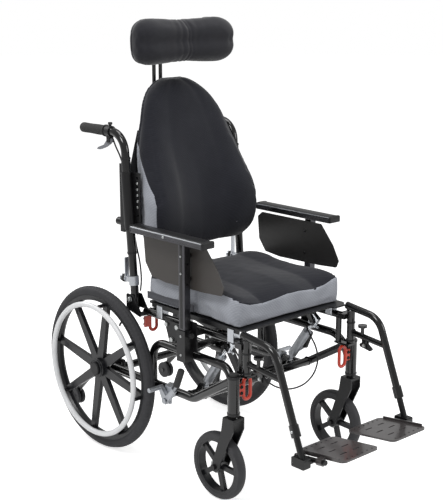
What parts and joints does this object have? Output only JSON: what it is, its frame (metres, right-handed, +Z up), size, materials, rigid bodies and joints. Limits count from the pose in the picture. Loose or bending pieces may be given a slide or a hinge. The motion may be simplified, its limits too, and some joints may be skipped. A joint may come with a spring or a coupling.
{
  "type": "tilt in space wheelchair",
  "caption": "Manual wheelchair whose whole seat tilts back on its base, with contoured cushions, headrest, swing-away leg rests and wheel locks.",
  "frame": {"origin": "centre of the footprint on the floor", "axes": "+X is the user's left, -Y is forward, +Z is up"},
  "size_m": [0.607, 1.2012, 1.3439],
  "materials": {
    "frame_black": "gloss black powder coat",
    "footplate_black": "satin black, fine texture",
    "bright_steel": "bright zinc plate",
    "tyre_grey": "dark grey solid tyre",
    "handrim_white": "gloss white coat",
    "wheel_nylon": "moulded black nylon",
    "loop_red": "orange-red coat",
    "grip_rubber": "ribbed black rubber",
    "armrest_vinyl": "black moulded pad with bright edges",
    "skirt_plastic": "smooth dark panel",
    "lever_grey": "mid grey moulded lever",
    "cable_black": "black cable housing",
    "cushion_fabric": "black stretch cover over grey sides",
    "shell_plastic": "black moulded shell"
  },
  "bodies": {
    "base": {"base_side_frame_left": "frame_black", "base_side_frame_right": "frame_black", "base_cross_tubes": "frame_black", "rear_axles": "bright_steel", "front_tie_downs": "loop_red", "anti_tipper_tubes": "frame_black", "wheel_lock_clamps": "bright_steel"},
    "seat": {"seat_frame": "frame_black", "hinge_plates": "frame_black", "seat_pan": "frame_black", "seat_cushion": "cushion_fabric", "armrest_sockets": "frame_black", "rear_tie_downs": "loop_red", "release_loop": "cable_black"},
    "back": {"back_canes": "frame_black", "push_grips": "grip_rubber", "release_straps": "bright_steel", "back_shell": "shell_plastic", "back_cushion": "cushion_fabric", "headrest_bracket": "frame_black", "trigger_cable": "cable_black"},
    "headrest_posts": {"headrest_posts": "frame_black"},
    "headrest": {"headrest_mount": "frame_black", "headrest_pad": "cushion_fabric"},
    "gas_cylinder_left": {"gas_spring_cylinder_left": "frame_black"},
    "gas_rod_left": {"gas_spring_rod_left": "bright_steel"},
    "armrest_left": {"armrest_post_left": "frame_black", "armrest_pad_left": "armrest_vinyl", "skirt_panel_left": "skirt_plastic"},
    "hanger_left": {"hanger_left": "frame_black"},
    "latch_left": {"hanger_latch_left": "frame_black"},
    "foot_extension_left": {"foot_extension_left": "frame_black"},
    "footplate_left": {"footplate_left": "footplate_black"},
    "caster_fork_left": {"caster_fork_left": "frame_black"},
    "caster_wheel_left": {"caster_wheel_left": "wheel_nylon", "caster_tyre_left": "tyre_grey"},
    "rear_wheel_left": {"rear_wheel_left": "wheel_nylon", "rear_tyre_left": "tyre_grey", "handrim_left": "handrim_white"},
    "anti_tipper_rollers_left": {"anti_tipper_rollers_left": "grip_rubber"},
    "wheel_lock_left": {"wheel_lock_lever_left": "bright_steel"},
    "trigger_left": {"trigger_left": "lever_grey"},
    "gas_cylinder_right": {"gas_spring_cylinder_right": "frame_black"},
    "gas_rod_right": {"gas_spring_rod_right": "bright_steel"},
    "armrest_right": {"armrest_post_right": "frame_black", "armrest_pad_right": "armrest_vinyl", "skirt_panel_right": "skirt_plastic"},
    "hanger_right": {"hanger_right": "frame_black"},
    "latch_right": {"hanger_latch_right": "frame_black"},
    "foot_extension_right": {"foot_extension_right": "frame_black"},
    "footplate_right": {"footplate_right": "footplate_black"},
    "caster_fork_right": {"caster_fork_right": "frame_black"},
    "caster_wheel_right": {"caster_wheel_right": "wheel_nylon", "caster_tyre_right": "tyre_grey"},
    "rear_wheel_right": {"rear_wheel_right": "wheel_nylon", "rear_tyre_right": "tyre_grey", "handrim_right": "handrim_white"},
    "anti_tipper_rollers_right": {"anti_tipper_rollers_right": "grip_rubber"},
    "wheel_lock_right": {"wheel_lock_lever_right": "bright_steel"},
    "trigger_right": {"trigger_right": "lever_grey"}
  },
  "joints": [
    {"name": "seat_tilt", "type": "hinge", "parent": "base", "child": "seat", "pos_m": [0, 0.01862, 0.422], "axis": [-1, 0, 0], "range_deg": [0, 45]},
    {"name": "back_recline", "type": "hinge", "parent": "seat", "child": "back", "pos_m": [0, 0.20962, 0.505], "axis": [-1, 0, 0], "range_deg": [0, 25]},
    {"name": "headrest_height", "type": "slide", "parent": "back", "child": "headrest_posts", "axis": [0, 0, 1], "range_m": [-0.015, 0.08]},
    {"name": "headrest_tilt", "type": "hinge", "parent": "headrest_posts", "child": "headrest", "pos_m": [0, 0.29362, 1.248], "axis": [1, 0, 0], "range_deg": [-20, 20]},
    {"name": "gas_cylinder_swing_left", "type": "hinge", "parent": "base", "child": "gas_cylinder_left", "pos_m": [0.178, -0.05938, 0.288], "axis": [-1, 0, 0], "range_deg": [-0.1, 26.79]},
    {"name": "gas_rod_slide_left", "type": "slide", "parent": "gas_cylinder_left", "child": "gas_rod_left", "axis": [0, -0.5735, 0.8192], "range_m": [-0.0005, 0.09503]},
    {"name": "armrest_height_left", "type": "slide", "parent": "seat", "child": "armrest_left", "axis": [0, 0, 1], "range_m": [0, 0.07]},
    {"name": "hanger_swing_left", "type": "hinge", "parent": "seat", "child": "hanger_left", "pos_m": [0.217, -0.27538, 0.4], "axis": [0, 0, 1], "range_deg": [0, 90]},
    {"name": "hanger_latch_left", "type": "hinge", "parent": "hanger_left", "child": "latch_left", "pos_m": [0.217, -0.33338, 0.389], "axis": [1, 0, 0], "range_deg": [0, 14], "stiffness_Nm_per_rad": 0.6, "springref_deg": -11.46},
    {"name": "foot_extension_left", "type": "slide", "parent": "hanger_left", "child": "foot_extension_left", "axis": [0, -0.3612, -0.9325], "range_m": [0, 0.07]},
    {"name": "footplate_flip_left", "type": "hinge", "parent": "foot_extension_left", "child": "footplate_left", "pos_m": [0.187, -0.49538, 0.196], "axis": [0, 0.9925, -0.1219], "range_deg": [0, 90]},
    {"name": "caster_swivel_left", "type": "hinge", "parent": "base", "child": "caster_fork_left", "pos_m": [0.247, -0.25438, 0.269], "axis": [0, 0, 1], "continuous": true},
    {"name": "caster_roll_left", "type": "hinge", "parent": "caster_fork_left", "child": "caster_wheel_left", "pos_m": [0.247, -0.19638, 0.1], "axis": [1, 0, 0], "continuous": true},
    {"name": "rear_wheel_roll_left", "type": "hinge", "parent": "base", "child": "rear_wheel_left", "pos_m": [0.262, 0.34062, 0.26], "axis": [1, 0, 0], "continuous": true},
    {"name": "anti_tipper_roll_left", "type": "hinge", "parent": "base", "child": "anti_tipper_rollers_left", "pos_m": [0.194, 0.56962, 0.084], "axis": [1, 0, 0], "continuous": true},
    {"name": "wheel_lock_left", "type": "hinge", "parent": "base", "child": "wheel_lock_left", "pos_m": [0.229, 0.03062, 0.233], "axis": [-1, 0, 0], "range_deg": [0, 50]},
    {"name": "trigger_left", "type": "hinge", "parent": "back", "child": "trigger_left", "pos_m": [0.222, 0.31862, 0.977], "axis": [1, 0, 0], "range_deg": [0, 12], "stiffness_Nm_per_rad": 1.5, "springref_deg": -8.59},
    {"name": "gas_cylinder_swing_right", "type": "hinge", "parent": "base", "child": "gas_cylinder_right", "pos_m": [-0.178, -0.05938, 0.288], "axis": [-1, 0, 0], "range_deg": [-0.1, 26.79]},
    {"name": "gas_rod_slide_right", "type": "slide", "parent": "gas_cylinder_right", "child": "gas_rod_right", "axis": [0, -0.5735, 0.8192], "range_m": [-0.0005, 0.09503]},
    {"name": "armrest_height_right", "type": "slide", "parent": "seat", "child": "armrest_right", "axis": [0, 0, 1], "range_m": [0, 0.07]},
    {"name": "hanger_swing_right", "type": "hinge", "parent": "seat", "child": "hanger_right", "pos_m": [-0.217, -0.27538, 0.4], "axis": [0, 0, -1], "range_deg": [0, 90]},
    {"name": "hanger_latch_right", "type": "hinge", "parent": "hanger_right", "child": "latch_right", "pos_m": [-0.217, -0.33338, 0.389], "axis": [1, 0, 0], "range_deg": [0, 14], "stiffness_Nm_per_rad": 0.6, "springref_deg": -11.46},
    {"name": "foot_extension_right", "type": "slide", "parent": "hanger_right", "child": "foot_extension_right", "axis": [0, -0.3612, -0.9325], "range_m": [0, 0.07]},
    {"name": "footplate_flip_right", "type": "hinge", "parent": "foot_extension_right", "child": "footplate_right", "pos_m": [-0.187, -0.49538, 0.196], "axis": [0, -0.9925, 0.1219], "range_deg": [0, 90]},
    {"name": "caster_swivel_right", "type": "hinge", "parent": "base", "child": "caster_fork_right", "pos_m": [-0.247, -0.25438, 0.269], "axis": [0, 0, 1], "continuous": true},
    {"name": "caster_roll_right", "type": "hinge", "parent": "caster_fork_right", "child": "caster_wheel_right", "pos_m": [-0.247, -0.19638, 0.1], "axis": [1, 0, 0], "continuous": true},
    {"name": "rear_wheel_roll_right", "type": "hinge", "parent": "base", "child": "rear_wheel_right", "pos_m": [-0.262, 0.34062, 0.26], "axis": [1, 0, 0], "continuous": true},
    {"name": "anti_tipper_roll_right", "type": "hinge", "parent": "base", "child": "anti_tipper_rollers_right", "pos_m": [-0.194, 0.56962, 0.084], "axis": [1, 0, 0], "continuous": true},
    {"name": "wheel_lock_right", "type": "hinge", "parent": "base", "child": "wheel_lock_right", "pos_m": [-0.229, 0.03062, 0.233], "axis": [-1, 0, 0], "range_deg": [0, 50]},
    {"name": "trigger_right", "type": "hinge", "parent": "back", "child": "trigger_right", "pos_m": [-0.222, 0.31862, 0.977], "axis": [1, 0, 0], "range_deg": [0, 12], "stiffness_Nm_per_rad": 1.5, "springref_deg": -8.59}
  ],
  "couplings": [
    {"joint": "gas_cylinder_swing_left", "follows": "seat_tilt", "ratio": 0.59311},
    {"joint": "gas_rod_slide_left", "follows": "seat_tilt", "m_per_rad": 0.12035},
    {"joint": "gas_cylinder_swing_right", "follows": "seat_tilt", "ratio": 0.59311},
    {"joint": "gas_rod_slide_right", "follows": "seat_tilt", "m_per_rad": 0.12035}
  ]
}
